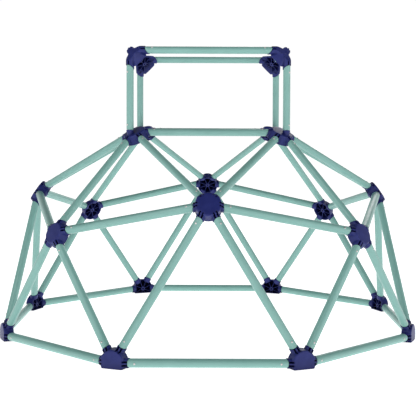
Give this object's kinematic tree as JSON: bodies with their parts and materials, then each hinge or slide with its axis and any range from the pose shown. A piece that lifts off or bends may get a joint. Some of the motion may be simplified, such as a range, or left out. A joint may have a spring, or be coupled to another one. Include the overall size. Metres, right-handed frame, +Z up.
{
  "type": "dome climber",
  "caption": "Free-standing steel-tube climbing dome with an open square tower on its crown, its tubes screwed to moulded plastic hubs.",
  "frame": {"origin": "on the ground, at the centre of the base ring", "axes": "+Z up along the dome's fourfold axis; the front, a flat side of the base octagon, faces -Y; +X to the right"},
  "size_m": [1.8578, 1.8578, 1.2978],
  "materials": {
    "tube_paint": "semi-gloss powder coat, muted teal green",
    "hub_plastic": "satin moulded plastic, dark navy blue",
    "screw_steel": "zinc-plated button-head screws"
  },
  "bodies": {
    "root": {"back_base_rails": "tube_paint", "back_belt_rails": "tube_paint", "back_crown_rail": "tube_paint", "back_left_base_hub": "hub_plastic", "back_left_crown_hub": "hub_plastic", "back_left_lower_belt_hub": "hub_plastic", "back_left_lower_legs": "tube_paint", "back_left_post": "tube_paint", "back_left_rafters": "tube_paint", "back_left_ridge": "tube_paint", "back_left_tower_hub": "hub_plastic", "back_right_base_hub": "hub_plastic", "back_right_crown_hub": "hub_plastic", "back_right_lower_belt_hub": "hub_plastic", "back_right_lower_legs": "tube_paint", "back_right_post": "tube_paint", "back_right_rafters": "tube_paint", "back_right_ridge": "tube_paint", "back_right_tower_hub": "hub_plastic", "back_tower_bar": "tube_paint", "back_upper_belt_hub": "hub_plastic", "back_upper_legs": "tube_paint", "front_base_rails": "tube_paint", "front_belt_rails": "tube_paint", "front_crown_rail": "tube_paint", "front_left_base_hub": "hub_plastic", "front_left_crown_hub": "hub_plastic", "front_left_lower_belt_hub": "hub_plastic", "front_left_lower_legs": "tube_paint", "front_left_post": "tube_paint", "front_left_rafters": "tube_paint", "front_left_ridge": "tube_paint", "front_left_tower_hub": "hub_plastic", "front_right_base_hub": "hub_plastic", "front_right_crown_hub": "hub_plastic", "front_right_lower_belt_hub": "hub_plastic", "front_right_lower_legs": "tube_paint", "front_right_post": "tube_paint", "front_right_rafters": "tube_paint", "front_right_ridge": "tube_paint", "front_right_tower_hub": "hub_plastic", "front_tower_bar": "tube_paint", "front_upper_belt_hub": "hub_plastic", "front_upper_legs": "tube_paint", "left_base_rails": "tube_paint", "left_belt_rails": "tube_paint", "left_crown_rail": "tube_paint", "left_left_base_hub": "hub_plastic", "left_right_base_hub": "hub_plastic", "left_tower_bar": "tube_paint", "left_upper_belt_hub": "hub_plastic", "left_upper_legs": "tube_paint", "right_base_rails": "tube_paint", "right_belt_rails": "tube_paint", "right_crown_rail": "tube_paint", "right_left_base_hub": "hub_plastic", "right_right_base_hub": "hub_plastic", "right_tower_bar": "tube_paint", "right_upper_belt_hub": "hub_plastic", "right_upper_legs": "tube_paint"}
  },
  "joints": []
}
